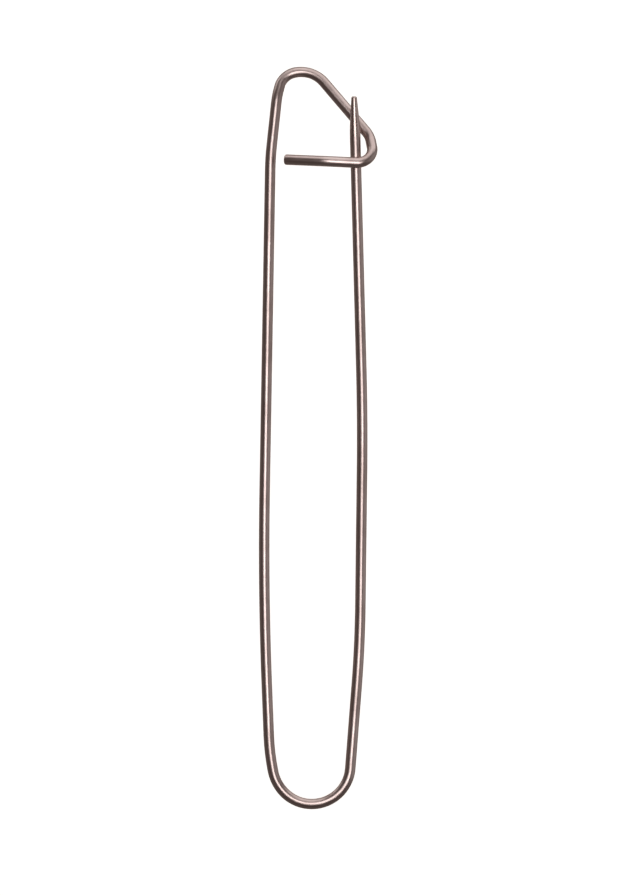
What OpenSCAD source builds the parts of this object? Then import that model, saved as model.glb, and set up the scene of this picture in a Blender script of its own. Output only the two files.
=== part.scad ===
// Stitch holder bent from one length of round wire.
// It lies flat: X across, Y towards the head, Z up to the viewer.
// The wire is a line of corner points, each rounded by its own bend radius.

/* [Wire] */
// Diameter of the wire
wire_d = 2.75; // [2:0.05:3.2]
// Width of the chamfer on the cut end of the wire
cut_chamfer = 0.25; // [0.1:0.05:0.5]
// Space left where the needle passes the tail bar and the shoulder
pass_gap = 0.25; // [0.2:0.05:0.6]

/* [Needle point] */
// Length of the tapered point
point_l = 10.3; // [8:0.1:16]
// Diameter of the rounded end of the point
point_d = 1.4; // [0.8:0.05:1.8]
// Bare shaft between the last stitch and the tail bar
bar_margin = 3; // [2:0.1:8]

/* [Head] */
// Height of the tail bar along the holder, at its inner corner
bar_y = 71; // [68:0.1:73]
// Length of the tail bar left of its inner corner
bar_l = 10.4; // [8:0.1:11.5]
// Place of the inner corner of the tail bar across the holder
bar_x = 1.8; // [0:0.1:4]
// Fall of the tail bar from its inner corner to the cut end
bar_fall = 3; // [1:0.1:4]
// Drop of the tail bar along the holder for each millimetre across
bar_slant = 0.047; // [0:0.001:0.08]
// Radius of the slight bend at the inner corner of the tail bar
bar_r = 8; // [5:0.5:14]
// Lower corner of the hook across the holder
hook_low_x = 14.6; // [14:0.05:15.5]
// Radius of the lower bend of the hook
hook_low_r = 4; // [2.8:0.1:4.2]
// Upper corner of the hook across the holder
hook_high_x = 13.15; // [12.6:0.05:13.8]
// Upper corner of the hook along the holder
hook_high_y = 77.6; // [77:0.05:79]
// Radius of the upper bend of the hook
hook_high_r = 5.5; // [4:0.1:7]
// Rise of the shoulder for each millimetre across, so that the point can slide down it
shoulder_rise = 0.3; // [0.26:0.01:0.36]
// Right corner of the crown across the holder
crown_right_x = -1.45; // [-2.2:0.05:-0.8]
// Right corner of the crown along the holder
crown_right_y = 94.85; // [93.5:0.05:95.5]
// Left corner of the crown across the holder
crown_left_x = -9.15; // [-10.2:0.05:-9.1]
// Left corner of the crown along the holder
crown_left_y = 93.35; // [92.5:0.05:93.8]
// Radius of the left bend of the crown
crown_left_r = 5; // [3.5:0.1:5.1]

/* [Back arm] */
// Neck corner of the back arm, just under the crown, across the holder
back_neck_x = -10.6; // [-10.8:0.05:-10]
// Neck corner of the back arm along the holder
back_neck_y = 87.9; // [87.8:0.05:88.6]
// Height of the back arm over the crown at its neck corner
back_neck_lift = 1.8; // [1:0.05:2]
// Radius of the bend at the neck corner
back_neck_r = 12; // [8:0.5:12.5]
// Upper corner of the back arm across the holder
back_top_x = -12.3; // [-13:0.05:-11.8]
// Upper corner of the back arm along the holder
back_top_y = 72; // [70:0.1:73]
// Height of the back arm over the crown at its upper corner
back_lift = 2.9; // [2:0.05:4]
// Radius of the bend at the upper corner
back_top_r = 50; // [20:1:55]
// Middle corner of the back arm across the holder
back_mid_x = -14.2; // [-15.5:0.05:-13.5]
// Middle corner of the back arm along the holder
back_mid_y = -37.95; // [-45:0.05:-30]
// Radius of the bow at the middle corner
back_mid_r = 800; // [500:10:850]
// Lower corner of the back arm across the holder
back_low_x = -12.55; // [-13.2:0.05:-12.2]
// Lower corner of the back arm along the holder
back_low_y = -80.8; // [-82:0.05:-79]

/* [Base] */
// Left corner of the base across the holder
base_left_x = -11; // [-11.4:0.05:-10.6]
// Left corner of the base along the holder
base_left_y = -88.4; // [-89:0.05:-88]
// Point that the left side of the base runs towards, across the holder
base_x = 6.6; // [6:0.05:7]
// Point that the left side of the base runs towards, along the holder
base_y = -106.9; // [-108:0.05:-106.5]
// Length from the left corner of the base to where its round starts
base_left_reach = 3.025; // [2.6:0.001:3.4]
// Radius of the round base
base_r = 9.9; // [9:0.1:10]

/* [Needle arm] */
// Place along the holder where the needle arm flexes
flex_y = -76; // [-78:0.1:-72]
// Length of each of the two short stretches that flex
flex_l = 6; // [4:0.1:7]
// Lower corner of the needle arm across the holder
needle_low_x = 10.65; // [10:0.05:11.2]
// Lower corner of the needle arm along the holder
needle_low_y = -52.85; // [-56:0.05:-50]
// Radius of the bow at the lower corner
needle_low_r = 260; // [150:5:280]
// Upper corner of the needle arm across the holder
needle_mid_x = 11.35; // [11:0.05:11.8]
// Upper corner of the needle arm along the holder
needle_mid_y = 4.95; // [0:0.05:10]
// Radius of the bow at the upper corner
needle_mid_r = 700; // [400:10:720]
// End of the needle's point across the holder
tip_x = 9.15; // [8.6:0.05:9.8]
// End of the needle's point along the holder
tip_y = 87.7; // [87:0.05:90]

/* [Hidden] */
$fn = 64;
wire_r = wire_d / 2;
point_r = point_d / 2;
// the crown and the base rest on the table, so this is the height of their wire's centre
rest_z = wire_r;
wire_grey = [0.72, 0.66, 0.65];
point_grey = [0.78, 0.72, 0.70];

// Where two lines meet in plan, as a share of each line
function cross2(a, b) = a.x * b.y - a.y * b.x;
function share(a, b, c, d) = cross2(c - a, d - c) / cross2(b - a, d - c);
function unit(v) = v / norm(v);
function plan(x, y) = [x, y];

// Plan corners of the stretches that pass each other in the head
bar_in = plan(bar_x, bar_y);
bar_out = plan(bar_x - bar_l, bar_y + bar_slant * bar_l);
hook_low = plan(hook_low_x, bar_y - bar_slant * (hook_low_x - bar_x));
hook_high = plan(hook_high_x, hook_high_y);
crown_right = plan(crown_right_x, crown_right_y);
needle_low = plan(needle_low_x, needle_low_y);
needle_mid = plan(needle_mid_x, needle_mid_y);
tip = plan(tip_x, tip_y);

// Heights: the needle clears the shoulder by pass_gap, and the tail bar clears the needle by it
hook_high_z = rest_z + shoulder_rise * (hook_high_x - crown_right_x);
at_shoulder = share(needle_mid, tip, crown_right, hook_high);
shoulder_at = share(crown_right, hook_high, needle_mid, tip);
shoulder_z = rest_z + (hook_high_z - rest_z) * shoulder_at;
cross_y = needle_mid.y + (tip.y - needle_mid.y) * at_shoulder;
taper_y = tip_y - point_l;
cross_r = wire_r - (wire_r - point_r) * max(0, cross_y - taper_y) / point_l;
// height between two crossing wires, from the gap between them measured square to both
function stack(gap, a, b) = gap * norm(cross(a, b)) / abs(cross(a, b).z);
shoulder_way = [hook_high.x - crown_right.x, hook_high.y - crown_right.y, hook_high_z - rest_z];
level_way = [tip.x - needle_mid.x, tip.y - needle_mid.y, 0];
lift_guess = shoulder_z + stack(wire_r + cross_r + pass_gap, shoulder_way, level_way) - rest_z;
needle_way = level_way + [0, 0, lift_guess / (cross_y - needle_low_y) * level_way.y];
needle_over = stack(wire_r + cross_r + pass_gap, shoulder_way, needle_way);
needle_climb = (shoulder_z + needle_over - rest_z) / (cross_y - needle_low_y);
function needle_z(y) = rest_z + needle_climb * (y - needle_low_y);
at_bar = share(needle_mid, tip, bar_in, hook_low);
bar_cross_y = needle_mid.y + (tip.y - needle_mid.y) * at_bar;
bar_way = [hook_low.x - bar_in.x, hook_low.y - bar_in.y, 0];
bar_z = needle_z(bar_cross_y) + stack(wire_d + pass_gap, bar_way, needle_way);

// Corner of the round base: it moves out along the left side as the round gets larger
base_left = [base_left_x, base_left_y, rest_z];
base_aim = [base_x, base_y, rest_z];
base_left_way = unit(base_aim - base_left);
base_turn = acos(base_left_way * unit(at(needle_low, rest_z) - base_aim));
base_corner = base_left + base_left_way * (base_left_reach + base_r * tan(base_turn / 2));

// Corner points from the cut end to the needle's point, measured from the datum of the plan
function at(p, z) = [p.x, p.y, z];
DATUM_CORNERS = [
    at(bar_out, bar_z - bar_fall),
    at(bar_in, bar_z),
    at(hook_low, bar_z),
    at(hook_high, hook_high_z),
    at(crown_right, rest_z),
    [crown_left_x, crown_left_y, rest_z],
    [back_neck_x, back_neck_y, rest_z + back_neck_lift],
    [back_top_x, back_top_y, rest_z + back_lift],
    [back_mid_x, back_mid_y, rest_z],
    [back_low_x, back_low_y, rest_z],
    base_left,
    base_corner,
    at(needle_low, rest_z),
    at(needle_mid, needle_z(needle_mid_y)),
    at(tip, needle_z(tip_y))
];
function way(i) = unit(DATUM_CORNERS[i + 1] - DATUM_CORNERS[i]);
function turn(i) = acos(min(1, way(i - 1) * way(i)));
// Radius of the bend at corner i that starts or ends where its neighbour at corner j ends or starts
function meeting_r(i, j, r) = (norm(DATUM_CORNERS[j] - DATUM_CORNERS[i]) - r * tan(turn(j) / 2)) / tan(turn(i) / 2);
crown_right_r = meeting_r(4, 5, crown_left_r);
base_left_r = meeting_r(10, 11, base_r);
back_low_r = meeting_r(9, 10, base_left_r);
BEND_RADII = [0, bar_r, hook_low_r, hook_high_r, crown_right_r, crown_left_r, back_neck_r, back_top_r,
              back_mid_r, back_low_r, base_left_r, base_r, needle_low_r, needle_mid_r, 0];
// Centre of the bend at corner i, and how far its arc reaches along axis k from that centre
function bend_centre(i) =
    DATUM_CORNERS[i] + unit(way(i) - way(i - 1)) * BEND_RADII[i] / cos(turn(i) / 2);
function bend_reach(i, k) = BEND_RADII[i] * sqrt(1 - pow(unit(cross(way(i - 1), way(i)))[k], 2));
// The middle of the outline is the origin: the back bow and the hook set its width, the crown and the base its length
mid_x = (bend_centre(8).x - bend_reach(8, 0) + bend_centre(2).x + bend_reach(2, 0)) / 2;
mid_y = (bend_centre(11).y - bend_reach(11, 1) + bend_centre(4).y + bend_reach(4, 1)) / 2;
CORNERS = [for (c = DATUM_CORNERS) c - [mid_x, mid_y, 0]];
function setback(i) = BEND_RADII[i] == 0 ? 0 : BEND_RADII[i] * tan(turn(i) / 2);
function leg_start(i) = CORNERS[i] + way(i) * setback(i);
function leg_end(i) = CORNERS[i + 1] - way(i) * setback(i + 1);

// Puts its children at p, with their Z along the direction d
module along(p, d) translate(p) rotate([0, acos(d.z), atan2(d.y, d.x)]) children();

// Straight round wire from p to q
module rod(p, q) along(p, unit(q - p)) cylinder(h = norm(q - p), r = wire_r);

// Straight stretch after corner i
module leg(i) rod(leg_start(i), leg_end(i));

// Round bend at corner i, a part of a torus in the plane of the two stretches that it joins
module bend(i) {
    e2 = way(i - 1);
    e1 = unit(e2 * (e2 * way(i)) - way(i));
    e3 = cross(e1, e2);
    translate(leg_end(i - 1))
        multmatrix([[e1.x, e2.x, e3.x, 0], [e1.y, e2.y, e3.y, 0], [e1.z, e2.z, e3.z, 0], [0, 0, 0, 1]])
        translate([-BEND_RADII[i], 0]) rotate_extrude(angle = turn(i), $fn = 120) translate([BEND_RADII[i], 0])
        circle(r = wire_r, $fn = 48);
}

// The needle arm flexes at one point of the straight stretch above the base
flex_leg = 11;
flex_at = leg_start(flex_leg) + way(flex_leg) * (flex_y - mid_y - leg_start(flex_leg).y) / way(flex_leg).y;
root_at = flex_at - way(flex_leg) * flex_l;
neck_at = flex_at + way(flex_leg) * flex_l;
// The point starts where the last straight stretch is point_l short of its end
last_leg = 13;
taper_at = CORNERS[last_leg + 1] - way(last_leg) * point_l;
// The stitches sit on the straight shaft up to here, short of the tail bar
shaft_top = bar_cross_y - mid_y - wire_r - bar_margin;
shaft_end = leg_start(last_leg) + way(last_leg) * (shaft_top - leg_start(last_leg).y) / way(last_leg).y;

// Straight bar with the chamfered cut end
module tail_bar() color(wire_grey) along(CORNERS[0], way(0)) {
    l = norm(leg_end(0) - CORNERS[0]);
    rotate_extrude() polygon([[0, 0], [wire_r - cut_chamfer, 0], [wire_r, cut_chamfer], [wire_r, l], [0, l]]);
}
module bar_bend() color(wire_grey) bend(1);
module bar_foot() color(wire_grey) leg(1);
module hook_low_bend() color(wire_grey) bend(2);
module hook_link() color(wire_grey) leg(2);
module hook_high_bend() color(wire_grey) bend(3);
module shoulder() color(wire_grey) leg(3);
module crown_right_bend() color(wire_grey) bend(4);
module crown_left_bend() color(wire_grey) bend(5);
module crown_neck() color(wire_grey) leg(5);
module neck_bend() color(wire_grey) bend(6);
module back_neck() color(wire_grey) leg(6);
module back_top_bend() color(wire_grey) bend(7);
module back_arm() color(wire_grey) leg(7);
module back_bow() color(wire_grey) bend(8);
module back_foot() color(wire_grey) leg(8);
module base_left_bow() color(wire_grey) bend(9);
module base_left_bend() color(wire_grey) bend(10);
module base_bend() color(wire_grey) bend(11);
module base_foot() color(wire_grey) rod(leg_start(flex_leg), root_at);
module flex_root() color(wire_grey) rod(root_at, flex_at);
module flex_neck() color(wire_grey) rod(flex_at, neck_at);
module needle_foot() color(wire_grey) rod(neck_at, leg_end(flex_leg));
module needle_low_bow() color(wire_grey) bend(12);
module needle_arm() color(wire_grey) leg(12);
module needle_high_bow() color(wire_grey) bend(13);
module needle_shaft() color(wire_grey) rod(leg_start(last_leg), shaft_end);
module needle_neck() color(wire_grey) rod(shaft_end, taper_at);
// Cone that ends in a ball, turned about the needle's own axis
module needle_point() color(point_grey) along(taper_at, way(last_leg)) {
    lean = atan((wire_r - point_r) / (point_l - point_r));
    ball_z = point_l - point_r;
    rotate_extrude() polygon(concat(
        [[0, 0], [wire_r, 0]],
        [for (a = [lean : (90 - lean) / 12 : 90]) [point_r * cos(a), ball_z + point_r * sin(a)]],
        [[0, point_l]]));
}

tail_bar();
bar_bend();
bar_foot();
hook_low_bend();
hook_link();
hook_high_bend();
shoulder();
crown_right_bend();
crown_left_bend();
crown_neck();
neck_bend();
back_neck();
back_top_bend();
back_arm();
back_bow();
back_foot();
base_left_bow();
base_left_bend();
base_bend();
base_foot();
flex_root();
flex_neck();
needle_foot();
needle_low_bow();
needle_arm();
needle_high_bow();
needle_shaft();
needle_neck();
needle_point();
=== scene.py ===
import math

import bpy
import numpy as np
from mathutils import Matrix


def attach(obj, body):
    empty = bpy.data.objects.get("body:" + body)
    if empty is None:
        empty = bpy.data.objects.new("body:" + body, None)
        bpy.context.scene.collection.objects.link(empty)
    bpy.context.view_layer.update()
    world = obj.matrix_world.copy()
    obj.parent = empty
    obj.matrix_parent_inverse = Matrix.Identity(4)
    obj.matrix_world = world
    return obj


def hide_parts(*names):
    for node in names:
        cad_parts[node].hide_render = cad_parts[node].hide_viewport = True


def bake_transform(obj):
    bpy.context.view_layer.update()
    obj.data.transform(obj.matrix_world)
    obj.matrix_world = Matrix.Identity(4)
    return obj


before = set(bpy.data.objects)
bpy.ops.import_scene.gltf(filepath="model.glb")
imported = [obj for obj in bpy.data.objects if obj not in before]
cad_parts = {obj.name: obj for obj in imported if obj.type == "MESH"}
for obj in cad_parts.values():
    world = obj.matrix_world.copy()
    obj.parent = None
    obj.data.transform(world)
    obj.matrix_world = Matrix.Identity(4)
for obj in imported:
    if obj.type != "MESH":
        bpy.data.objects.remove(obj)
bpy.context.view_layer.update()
mm = 0.001

# The wire that every piece is bent from, in mm. A bend has a ring of points every few
# degrees, kept between two spacings, and rings closer than closestRings are left out.
# Bends tighter than flattensBelowRadius are flattened in full, and wider ones less.
wire = {
    "radius": 1.375,
    "ringSides": 48,
    "straightSpacing": 2.0,
    "bendDegrees": 3,
    "bendSpacing": (0.15, 2.0),
    "fewestBendRings": 5,
    "closestRings": 0.03,
    "bendFlattening": 0.03,
    "flattensBelowRadius": 9,
    "flatteningFade": 3,
    "mapLength": 10.0,
}


def unit(v):
    return v / np.linalg.norm(v, axis=-1, keepdims=True)


# Centre line of a bent wire. A bend starts radius x tan(half the turn) before its
# corner and follows start + radius x (sin(a) x old way + (1 - cos(a)) x side way),
# with a from 0 to the turn; straight runs are shared out evenly. It gives places,
# directions and pinches. A pinch points to the inside of the bend, and its length is
# (flattensBelowRadius / radius, at most 1) to the power flatteningFade, times the
# square root of sin(pi x a / turn).
def bentPath(corners, radii, straightSpacing=wire["straightSpacing"]):
    c = np.array(corners, float)
    ways = unit(np.diff(c, axis=0))
    places, directions, pinches = [c[:1]], [ways[:1]], [np.zeros((1, 3))]

    def straightTo(end, way):
        start = places[-1][-1]
        run = float((end - start) @ way)
        share = np.linspace(0, 1, max(2, int(run / straightSpacing)))[1:, None]
        places.append(start + share * run * way)
        directions.append(np.repeat(way[None], len(share), 0))
        pinches.append(np.zeros((len(share), 3)))

    closest, widest = wire["bendSpacing"]
    for corner, old, new, radius in zip(c[1:], ways, ways[1:], radii):
        turn = math.acos(float(np.clip(old @ new, -1, 1)))
        side = unit(new - old * float(old @ new))
        start = corner - old * radius * math.tan(turn / 2)
        straightTo(start, old)
        spacing = min(max(radius * math.radians(wire["bendDegrees"]), closest), widest)
        rings = max(wire["fewestBendRings"], int(radius * turn / spacing))
        a = np.linspace(0, turn, rings)[:, None]
        places.append(start + radius * (np.sin(a) * old + (1 - np.cos(a)) * side))
        directions.append(np.cos(a) * old + np.sin(a) * side)
        pinch = min(1.0, wire["flattensBelowRadius"] / radius) ** wire["flatteningFade"]
        pinches.append(
            pinch
            * np.sqrt(np.abs(np.sin(np.pi * a / turn)))
            * (np.cos(a) * side - np.sin(a) * old)
        )
    straightTo(c[-1], ways[-1])
    p, d, q = (np.concatenate(runs) for runs in (places, directions, pinches))
    steps = np.linalg.norm(np.diff(p, axis=0), axis=1)
    kept = np.concatenate([[True], steps > wire["closestRings"]])
    return p[kept], unit(d[kept]), q[kept]


# A path with its first end rounded: at depth c x (1 - cos(b)) from the cut face, the
# radius is full radius - c + c x sin(b), with c the rounding and b from 0 to a
# quarter turn. The path's own rings go on from roundingRoom x c.
def roundedStart(path, rounding, rings, roundingRoom):
    p, d, q = path
    b = np.linspace(0, np.pi / 2, rings)[:, None]
    depth = rounding * (1 - np.cos(b))
    later = np.linalg.norm(p - p[0], axis=1) > rounding * roundingRoom
    radii = np.concatenate(
        [
            wire["radius"] - rounding + rounding * np.sin(b[:, 0]),
            np.full(later.sum(), wire["radius"]),
        ]
    )
    p = np.concatenate([p[0] + depth * d[0], p[later]])
    d = np.concatenate([np.repeat(d[:1], len(b), 0), d[later]])
    q = np.concatenate([np.zeros((len(b), 3)), q[later]])
    return (p, d, q), radii


# A tapered, straight path: the radius falls evenly from the wire's to the tip's,
# eased in by the parabola depth x depth / (2 x easing). The nose is a quarter round,
# at depth length - nose + nose x sin(b) and radius body's - nose + nose x cos(b),
# less noseTaper of the even fall.
def taperedPath(shape):
    start, end = np.array(shape["start"]), np.array(shape["end"])
    length = float(np.linalg.norm(end - start))
    way = (end - start) / length
    nose, ease = shape["noseRounding"], shape["shoulderEasing"]
    slope = (wire["radius"] - shape["tipRadius"]) / (length - ease / 2)
    body = np.concatenate(
        [
            np.linspace(0, ease, shape["shoulderRings"]),
            np.linspace(ease, length - nose, shape["bodyRings"])[1:],
        ]
    )
    bodyRadius = wire["radius"] - slope * np.where(
        body < ease, body**2 / (2 * ease), body - ease / 2
    )
    b = np.linspace(0, np.pi / 2, shape["noseRings"])[1:]
    noseDepth = length - nose + nose * np.sin(b)
    roundRadius = bodyRadius[-1] - nose + nose * np.cos(b)
    fall = slope * (noseDepth - length + nose) * shape["noseTaper"]
    depth = np.concatenate([body, noseDepth])
    p = start + depth[:, None] * way
    d = np.repeat(way[None], len(depth), 0)
    return (p, d, np.zeros_like(p)), np.concatenate([bodyRadius, roundRadius - fall])


# Faces of a closed bar: a quad from each side of each ring to the next ring, and a
# fan of triangles to the middle of each end. The middles come after all the rings'
# points.
def barFaces(rings, sides):
    ring, side = np.meshgrid(np.arange(rings - 1), np.arange(sides), indexing="ij")
    after = (side + 1) % sides
    here, there = ring * sides, (ring + 1) * sides
    quads = np.stack([here + side, here + after, there + after, there + side], 2)
    side = np.arange(sides)
    after = (side + 1) % sides
    last = (rings - 1) * sides
    middle = np.full(sides, rings * sides)
    startFan = np.stack([after, side, middle], 1)
    endFan = np.stack([last + side, last + after, middle + 1], 1)
    return quads.reshape(-1, 4), startFan, endFan


# UV of a closed bar: across is the share of a turn and up is length / mapLength, and
# each end has (cos(turn), sin(turn)) on its rim and 0 in its middle.
def barMap(along, turn):
    sides = len(turn)
    i, j = np.meshgrid(np.arange(len(along) - 1), np.arange(sides), indexing="ij")
    across = np.stack([j, j + 1, j + 1, j], 2).reshape(-1, 4) / sides
    up = np.stack([along[i], along[i], along[i + 1], along[i + 1]], 2).reshape(-1, 4)
    sideMap = np.stack([across, up], 2).reshape(-1, 2) * (1, 1 / wire["mapLength"])
    after = np.roll(turn, -1)
    endTurn = np.stack([turn, after, after], 1)
    endMap = np.stack([np.cos(endTurn), np.sin(endTurn)], 2) * [[1], [1], [0]]
    endMap = endMap.reshape(-1, 2)
    return np.concatenate([sideMap, endMap, endMap])


# Closed round bar along a path: rim point = centre + radius x (cos(turn) x up side +
# sin(turn) x cross side), less bendFlattening of what it reaches along the bend's
# pinch. Each rim point keeps (radius x cos, radius x sin, length along the wire) in
# mm as its grain place. It gives the piece and the length at its far end.
def roundBar(name, path, lengthBefore, radii=None, startLook=0):
    p, d, q = path
    if radii is None:
        radii = np.full(len(p), wire["radius"])
    steps = np.linalg.norm(np.diff(p, axis=0), axis=1)
    along = lengthBefore + np.concatenate([[0], np.cumsum(steps)])
    sides = wire["ringSides"]
    up = unit(np.array((0, 0, 1.0)) - d * d[:, 2:3])
    cross = np.cross(d, up)
    turn = np.linspace(0, 2 * np.pi, sides, endpoint=False)
    cos, sin = np.cos(turn)[None, :, None], np.sin(turn)[None, :, None]
    rim = radii[:, None, None] * (cos * up[:, None] + sin * cross[:, None])
    squeezed = (rim * q[:, None]).sum(2, keepdims=True) * q[:, None]
    rings = p[:, None] + rim - wire["bendFlattening"] * squeezed
    grain = np.stack(
        [
            radii[:, None] * cos[..., 0],
            radii[:, None] * sin[..., 0],
            np.repeat(along[:, None], sides, 1),
        ],
        2,
    )
    endGrain = [[0, 0, along[0]], [0, 0, along[-1]]]
    places = np.concatenate([rings.reshape(-1, 3), p[:1], p[-1:]])
    grain = np.concatenate([grain.reshape(-1, 3), endGrain])
    quads, startFan, endFan = barFaces(len(p), sides)

    mesh = bpy.data.meshes.new(name)
    faces = quads.tolist() + startFan.tolist() + endFan.tolist()
    mesh.from_pydata((places * mm).tolist(), [], faces)
    wireUv = mesh.uv_layers.new(name="wireUv")
    wireUv.data.foreach_set("uv", barMap(along, turn).ravel())
    grainPlace = mesh.attributes.new("grainPlace", "FLOAT_VECTOR", "POINT")
    grainPlace.data.foreach_set("vector", grain.ravel())
    mesh.polygons.foreach_set("use_smooth", np.ones(len(mesh.polygons), bool))

    pairs = np.empty(len(mesh.edges) * 2, int)
    mesh.edges.foreach_get("vertices", pairs)
    pairs = pairs.reshape(-1, 2)
    last, middle = (len(p) - 1) * sides, len(p) * sides
    endEdges = (pairs < sides).all(1) | ((pairs >= last) & (pairs < middle)).all(1)
    sharp = mesh.attributes.new("sharp_edge", "BOOLEAN", "EDGE")
    sharp.data.foreach_set("value", endEdges)
    looks = np.zeros(len(mesh.polygons), int)
    looks[len(quads) : len(quads) + sides] = startLook
    mesh.polygons.foreach_set("material_index", looks)
    mesh.validate()

    piece = bpy.data.objects.new(name, mesh)
    bpy.context.scene.collection.objects.link(piece)
    return piece, float(along[-1])


def linear(colour):
    shares = [int(colour[i : i + 2], 16) / 255 for i in (0, 2, 4)]
    return tuple(
        s / 12.92 if s <= 0.04045 else ((s + 0.055) / 1.055) ** 2.4 for s in shares
    ) + (1.0,)


# Adds a node. An input that is another node's socket is linked, and any other is set.
def addNode(tree, kind, settings=None, inputs=None):
    node = tree.nodes.new(kind)
    for key, value in (settings or {}).items():
        setattr(node, key, value)
    for key, value in (inputs or {}).items():
        if isinstance(value, bpy.types.NodeSocket):
            tree.links.new(value, node.inputs[key])
        else:
            node.inputs[key].default_value = value
    return node


def newMaterial(name):
    material = bpy.data.materials.new(name)
    material.use_nodes = True
    tree = material.node_tree
    tree.nodes.clear()
    return material, tree


def noise(tree, place, size, detail, roughness=0.5):
    inputs = {"Vector": place, "Scale": 1 / size, "Detail": detail}
    inputs["Roughness"] = roughness
    return addNode(tree, "ShaderNodeTexNoise", inputs=inputs).outputs["Fac"]


def mapped(tree, source, span, low=0.0, high=1.0):
    inputs = {"Value": source, "From Min": span[0], "From Max": span[1]}
    inputs.update({"To Min": low, "To Max": high})
    return addNode(tree, "ShaderNodeMapRange", inputs=inputs).outputs["Result"]


def calculated(tree, operation, *terms, clamp=False):
    settings = {"operation": operation, "use_clamp": clamp}
    node = addNode(tree, "ShaderNodeMath", settings, dict(enumerate(terms)))
    return node.outputs["Value"]


# Sockets 6 and 7 of a Mix node are its two colours, and its output 2 is the mixed
# one.
def mixedColour(tree, factor, first, second):
    inputs = {"Factor": factor, 6: linear(first), 7: linear(second)}
    return addNode(tree, "ShaderNodeMix", {"data_type": "RGBA"}, inputs).outputs[2]


def relief(tree, height, depth, strength=1.0, under=None):
    inputs = {"Height": height, "Distance": depth, "Strength": strength}
    if under is not None:
        inputs["Normal"] = under
    return addNode(tree, "ShaderNodeBump", inputs=inputs).outputs["Normal"]


def metalSurface(tree, inputs):
    surface = addNode(
        tree, "ShaderNodeBsdfPrincipled", inputs={"Metallic": 1.0, **inputs}
    )
    addNode(
        tree, "ShaderNodeOutputMaterial", inputs={"Surface": surface.outputs["BSDF"]}
    )


# Most values of a noise lie in this span.
noiseSpan = (0.3, 0.7)

# The satin of the drawn wire: colours are sRGB hex, lengths are mm, and a span says
# from which value of its noise something starts, and at which it is full.
satin = {
    "colour": "c6b4b0",
    "handledColour": "b3a19c",
    "roughness": (0.29, 0.315),
    "anisotropy": 0.25,
    "grainWidth": 0.08,
    "grainLength": 7.0,
    "grainDepth": 0.0003,
    "handledPatch": 9.0,
    "handledSpan": (0.42, 0.68),
    "dulledSpan": (0.35, 0.7),
    "dulledBy": (-0.015, 0.025),
    "nickSize": 0.45,
    "nickSpan": (0.28, 0.36),
    "nickDepth": 0.001,
}

# The needle's point, rubbed brighter than the wire.
polish = dict(
    satin,
    colour="cfbcb6",
    handledColour="c0aca6",
    roughness=(0.24, 0.27),
    anisotropy=0.15,
    grainLength=3.0,
    grainDepth=0.0002,
)


# Drawn aluminium wire, anodised a warm satin grey: fine lines run along it, so a
# lamp's streak stays narrow across the wire and breaks up a little along it. Handling
# leaves slightly duller patches and small nicks.
def drawnMetal(name, look):
    material, tree = newMaterial(name)
    place = addNode(tree, "ShaderNodeAttribute", {"attribute_name": "grainPlace"})
    across, along = 1 / look["grainWidth"], 1 / look["grainLength"]
    stretched = addNode(
        tree,
        "ShaderNodeMapping",
        inputs={"Vector": place.outputs["Vector"], "Scale": (across, across, along)},
    )
    grain = noise(tree, stretched.outputs["Vector"], 1.0, detail=3.0, roughness=0.6)
    here = addNode(tree, "ShaderNodeTexCoord").outputs["Object"]
    patchSize, nickSize = look["handledPatch"] * mm, look["nickSize"] * mm
    patches = noise(tree, here, patchSize, detail=4.0, roughness=0.55)
    nicks = noise(tree, here, nickSize, detail=2.0)

    handled = mapped(tree, patches, look["handledSpan"])
    fromGrain = mapped(tree, grain, noiseSpan, *look["roughness"])
    fromPatches = mapped(tree, patches, look["dulledSpan"], *look["dulledBy"])
    lines = relief(tree, grain, look["grainDepth"] * mm)
    dents = mapped(tree, nicks, look["nickSpan"])
    tangent = addNode(
        tree, "ShaderNodeTangent", {"direction_type": "UV_MAP", "uv_map": "wireUv"}
    )
    metalSurface(
        tree,
        {
            "Base Color": mixedColour(
                tree, handled, look["colour"], look["handledColour"]
            ),
            "Roughness": calculated(tree, "ADD", fromGrain, fromPatches, clamp=True),
            "Normal": relief(tree, dents, look["nickDepth"] * mm, under=lines),
            "Tangent": tangent.outputs["Tangent"],
            "Anisotropic": look["anisotropy"],
        },
    )
    return material


# The sheared end of the wire at the free tip of the cross bar, in mm. A band texture
# of scale 1 repeats after bandRepeat.
cutFace = {
    "colour": "a8958f",
    # Painted shade: the darker colour given to the grooves between the ridges.
    "groovePaintedShadeColour": "8d7b76",
    "roughness": (0.38, 0.55),
    "wobbleSize": 0.4,
    "ridgeWidth": 0.12,
    "ridgeDepth": 0.02,
    "bandRepeat": 0.314,
}


# A sheared wire end: dull, with parallel ridges where the blade went through, so it
# catches light unevenly; the grooves between the ridges are painted darker as shade.
def shearedMetal(name, look):
    material, tree = newMaterial(name)
    here = addNode(tree, "ShaderNodeTexCoord").outputs["Object"]
    wobble = noise(tree, here, look["wobbleSize"] * mm, detail=3.0)
    ridges = addNode(
        tree,
        "ShaderNodeTexWave",
        {"wave_type": "BANDS", "bands_direction": "Z"},
        {
            "Vector": here,
            "Scale": look["bandRepeat"] / (look["ridgeWidth"] * mm),
            "Distortion": 3.0,
            "Detail": 2.0,
        },
    )
    height = calculated(tree, "MULTIPLY", ridges.outputs["Fac"], wobble)
    metalSurface(
        tree,
        {
            # Painted shade: the lower the ridge height, the darker the colour, so the
            # grooves look shaded.
            "Base Color": mixedColour(
                tree, height, look["groovePaintedShadeColour"], look["colour"]
            ),
            "Roughness": mapped(tree, wobble, noiseSpan, *look["roughness"]),
            "Normal": relief(tree, height, look["ridgeDepth"] * mm),
        },
    )
    return material


drawnWire = drawnMetal("drawnAluminiumWireSatin", satin)
polishedPoint = drawnMetal("polishedAluminiumPoint", polish)
cutEnd = shearedMetal("shearedAluminiumWireEnd", cutFace)
print("scene: materials ready")

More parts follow.
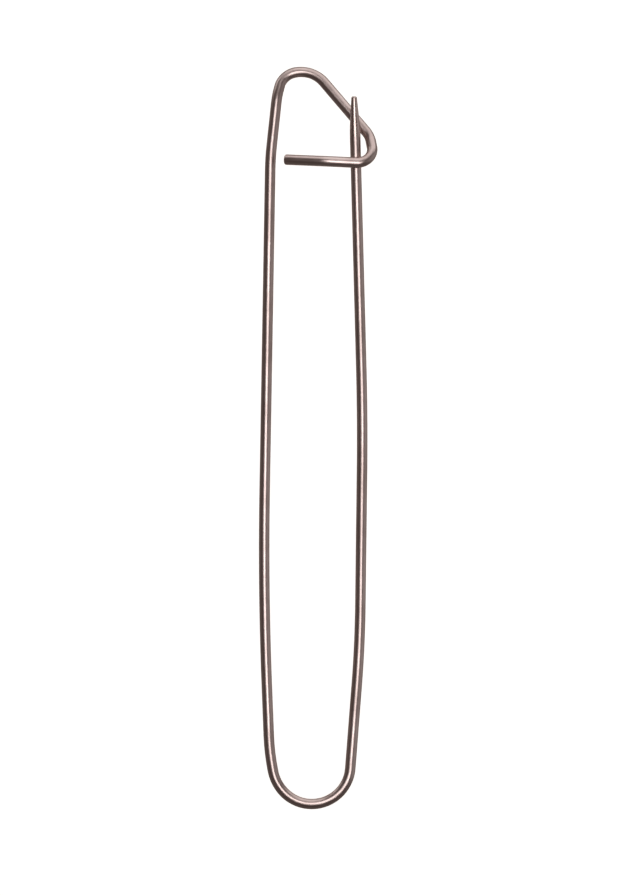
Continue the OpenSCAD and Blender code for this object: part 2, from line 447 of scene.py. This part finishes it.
# The fixed wire, in mm of the frame, from the cut end of the cross bar to the foot of
# the needle arm: where its straight runs would meet, and the radius of each bend
# there.
fixed = {
    "corners": [
        (-8.552, 71.297, 6.948),
        (1.848, 70.808, 9.948),
        (14.648, 70.206, 9.948),
        (13.198, 77.408, 5.755),
        (-1.402, 94.658, 1.375),
        (-9.102, 93.158, 1.375),
        (-10.552, 87.708, 3.175),
        (-12.252, 71.808, 4.275),
        (-14.152, -38.142, 1.375),
        (-12.502, -80.992, 1.375),
        (-10.952, -88.592, 1.375),
        (6.511, -106.948, 1.375),
        (8.435, -82.174, 1.375),
    ],
    "bendRadii": [8, 4, 5.5, 7.813, 5, 12, 50, 800, 57.03, 10.819, 9.9],
    "cutEdgeRounding": 0.45,
    "cutEdgeRings": 8,
    "cutEdgeRoom": 1.2,
}
fixedPath, fixedRadii = roundedStart(
    bentPath(fixed["corners"], fixed["bendRadii"]),
    fixed["cutEdgeRounding"],
    fixed["cutEdgeRings"],
    fixed["cutEdgeRoom"],
)
holderWire, fixedEnd = roundBar("holderWire", fixedPath, 0, fixedRadii, startLook=1)
print("scene: fixed wire", round(fixedEnd, 2), "mm long")

# The short stretch of the straight foot that gives when the needle arm is pressed out
# of its hook, in mm. Its rings are close, because it twists through half a turn.
spring = {
    "start": (8.435, -82.174, 1.375),
    "middle": (8.900, -76.192, 1.375),
    "end": (9.365, -70.210, 1.375),
    "seamGap": 0.02,
    "ringSpacing": 0.08,
}
start, middle = np.array(spring["start"]), np.array(spring["middle"])
rootStart = start + spring["seamGap"] * unit(middle - start)
rootPath = bentPath([rootStart, middle], [], spring["ringSpacing"])
neckPath = bentPath([middle, spring["end"]], [], spring["ringSpacing"])
flexRoot, rootEnd = roundBar("flexRoot", rootPath, fixedEnd)
flexNeck, neckEnd = roundBar("flexNeck", neckPath, rootEnd)

# The needle arm from that stretch up to where its point starts, in mm.
needle = {
    "corners": [
        (9.365, -70.210, 1.375),
        (10.698, -53.042, 1.375),
        (11.398, 4.758, 3.982),
        (9.472, 77.222, 7.251),
    ],
    "bendRadii": [260, 700],
}
needlePath = bentPath(needle["corners"], needle["bendRadii"])
needleWire, needleEnd = roundBar("needleWire", needlePath, neckEnd)

# The needle's blunt point, in mm, and how many rings each stretch of it has.
point = {
    "start": (9.472, 77.222, 7.251),
    "end": (9.198, 87.508, 7.715),
    "tipRadius": 0.7,
    "noseRounding": 0.45,
    "noseTaper": 0.5,
    "shoulderEasing": 4,
    "shoulderRings": 8,
    "bodyRings": 24,
    "noseRings": 10,
}
pointPath, pointRadii = taperedPath(point)
needlePoint, pointEnd = roundBar("needlePoint", pointPath, needleEnd, pointRadii)
print("scene: needle arm ends at", round(pointEnd, 2), "mm")

for piece in (holderWire, flexRoot, flexNeck, needleWire):
    piece.data.materials.append(drawnWire)
holderWire.data.materials.append(cutEnd)
needlePoint.data.materials.append(polishedPoint)

needleNodes = [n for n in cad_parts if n.startswith("needle_")]
springNodes = ["flex_root", "flex_neck"]
fixedNodes = [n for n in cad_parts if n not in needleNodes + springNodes]
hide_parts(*fixedNodes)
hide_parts("flex_root")
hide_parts("flex_neck")
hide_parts(*[n for n in needleNodes if n != "needle_point"])
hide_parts("needle_point")
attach(holderWire, "holder")
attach(needleWire, "needle")
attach(needlePoint, "needle")
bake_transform(flexRoot)
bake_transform(flexNeck)
print("scene: pieces ride their bodies")

# The floor far under the part, in metres: a painted pool of light keeps it pale in the
# middle, and painted falloff makes it darker outside the picture. Its tooth, the fine
# grain of matt paint, is in mm.
floorLook = {
    "depth": 0.4,
    "radius": 1.6,
    "sides": 128,
    "colour": "f4f2ef",
    # Painted falloff: the darker floor colour outside the painted pool of light.
    "paintedFalloffColour": "c2bebb",
    "paintedPoolWithin": 0.175,
    "paintedFalloffBeyond": 0.28,
    # Strength of the painted pool of light's glow, in the middle of the floor.
    "paintedPoolGlow": 0.8,
    "toothSize": 0.8,
    "toothDepth": 0.02,
    "toothStrength": 0.3,
}


# Pale matt studio floor with a painted pool of light: inside the pool it glows a little
# for the camera and for reflections, so it stays white under the part, and painted
# falloff makes it darker away from the middle, which keeps the sides of the wire dark.
def floorMaterial(name, look):
    material, tree = newMaterial(name)
    here = addNode(tree, "ShaderNodeTexCoord").outputs["Object"]
    distance = addNode(tree, "ShaderNodeVectorMath", {"operation": "LENGTH"}, {0: here})
    # Painted pool of light: pale within the pool, painted darker farther out.
    span = (look["paintedPoolWithin"], look["paintedFalloffBeyond"])
    paintedFalloffMask = mapped(tree, distance.outputs["Value"], span)
    tooth = noise(tree, here, look["toothSize"] * mm, detail=2.0)
    grain = relief(tree, tooth, look["toothDepth"] * mm, look["toothStrength"])
    colour = mixedColour(tree, paintedFalloffMask, look["colour"], look["paintedFalloffColour"])
    matt = addNode(
        tree, "ShaderNodeBsdfDiffuse", inputs={"Color": colour, "Normal": grain}
    )
    rays = addNode(tree, "ShaderNodeLightPath").outputs
    seen = calculated(tree, "MAXIMUM", rays["Is Camera Ray"], rays["Is Glossy Ray"])
    seen = calculated(tree, "MAXIMUM", seen, rays["Is Transmission Ray"])
    # The glow is a painted pool of light: only the middle of the floor glows, for
    # camera, glossy and transmission rays.
    paintedPoolMask = calculated(tree, "SUBTRACT", 1.0, paintedFalloffMask)
    paintedPoolGlow = calculated(tree, "MULTIPLY", seen, paintedPoolMask)
    emission = addNode(
        tree,
        "ShaderNodeEmission",
        inputs={
            "Strength": calculated(tree, "MULTIPLY", paintedPoolGlow, look["paintedPoolGlow"]),
            "Color": linear(look["colour"]),
        },
    )
    both = addNode(
        tree,
        "ShaderNodeAddShader",
        inputs={0: matt.outputs["BSDF"], 1: emission.outputs["Emission"]},
    )
    addNode(
        tree, "ShaderNodeOutputMaterial", inputs={"Surface": both.outputs["Shader"]}
    )
    return material


turn = np.linspace(0, 2 * np.pi, floorLook["sides"], endpoint=False)
rim = floorLook["radius"] * np.stack([np.cos(turn), np.sin(turn), 0 * turn], 1)
floorMesh = bpy.data.meshes.new("studioFloor")
floorMesh.from_pydata(rim.tolist(), [], [list(range(len(turn)))])
floorMesh.materials.append(floorMaterial("mattStudioFloorPaintedPool", floorLook))
floor = bpy.data.objects.new("studioFloor", floorMesh)
floor.location = (0, 0, -floorLook["depth"])
bpy.context.scene.collection.objects.link(floor)

# The lamps: place and size in metres, level as the brightness that a mirror would
# show. The one above is an ellipse that lies flat, and the others are upright
# rectangles.
lamps = {
    "above": {"at": (0.06, 0.05, 1.1), "size": (0.96, 0.56), "level": 3.3},
    "slope": {"at": (0.2, 0.85, 0.8), "size": (0.7, 0.5), "level": 0.7},
    "head": {"at": (0.25, 1.0, 0.12), "size": (1.7, 1.0), "level": 1.15},
    "left": {"at": (-1.1, 1.0, -0.1), "size": (1.1, 0.55), "level": 1.15},
    "right": {"at": (1.0, 0.0, 0.2), "size": (1.3, 0.9), "level": 0.3},
}
for name, lamp in lamps.items():
    flat = name == "above"
    wide, high = lamp["size"]
    light = bpy.data.lights.new(name + "Lamp", "AREA")
    light.shape = "ELLIPSE" if flat else "RECTANGLE"
    light.size, light.size_y = wide, high
    area = wide * high * (math.pi / 4 if flat else 1)
    light.energy = lamp["level"] * math.pi * area
    lampObject = bpy.data.objects.new(name + "Lamp", light)
    lampObject.location = lamp["at"]
    aim = (-lampObject.location).to_track_quat("-Z", "Y" if flat else "Z")
    lampObject.rotation_euler = aim.to_euler()
    lampObject.visible_camera = False
    bpy.context.scene.collection.objects.link(lampObject)

# A dim room, a little paler round the horizon, where walls would catch the lamps'
# light. horizonBelow and dimAbove are the sine of the height above or below the
# horizon.
room = {
    "colour": "4e4441",
    "horizonColour": "706a67",
    "horizonBelow": 0.12,
    "dimAbove": 0.45,
}
world = bpy.data.worlds.new("dimRoom")
world.use_nodes = True
tree = world.node_tree
tree.nodes.clear()
ways = addNode(tree, "ShaderNodeTexCoord").outputs["Generated"]
axes = addNode(tree, "ShaderNodeSeparateXYZ", inputs={"Vector": ways})
steepness = calculated(tree, "ABSOLUTE", axes.outputs["Z"])
steep = mapped(tree, steepness, (room["horizonBelow"], room["dimAbove"]))
walls = mixedColour(tree, steep, room["horizonColour"], room["colour"])
background = addNode(tree, "ShaderNodeBackground", inputs={"Color": walls})
addNode(
    tree,
    "ShaderNodeOutputWorld",
    inputs={"Surface": background.outputs["Background"]},
)
bpy.context.scene.world = world
print("scene: floor and lamps ready")

# The camera, straight above: place and farthest in metres, lens and sensor in mm.
camera = {
    "at": (0.000468, -0.002565, 3.0),
    "lens": 469.5,
    "sensor": 36,
    "farthest": 20,
    "picture": (640, 896),
}
view = bpy.data.cameras.new("photoCamera")
view.lens = camera["lens"]
view.sensor_width = camera["sensor"]
view.clip_end = camera["farthest"]
viewpoint = bpy.data.objects.new("photoCamera", view)
viewpoint.location = camera["at"]
bpy.context.scene.collection.objects.link(viewpoint)
bpy.context.scene.camera = viewpoint
picture = bpy.context.scene.render
picture.resolution_x, picture.resolution_y = camera["picture"]
bpy.context.scene.view_settings.view_transform = "Standard"
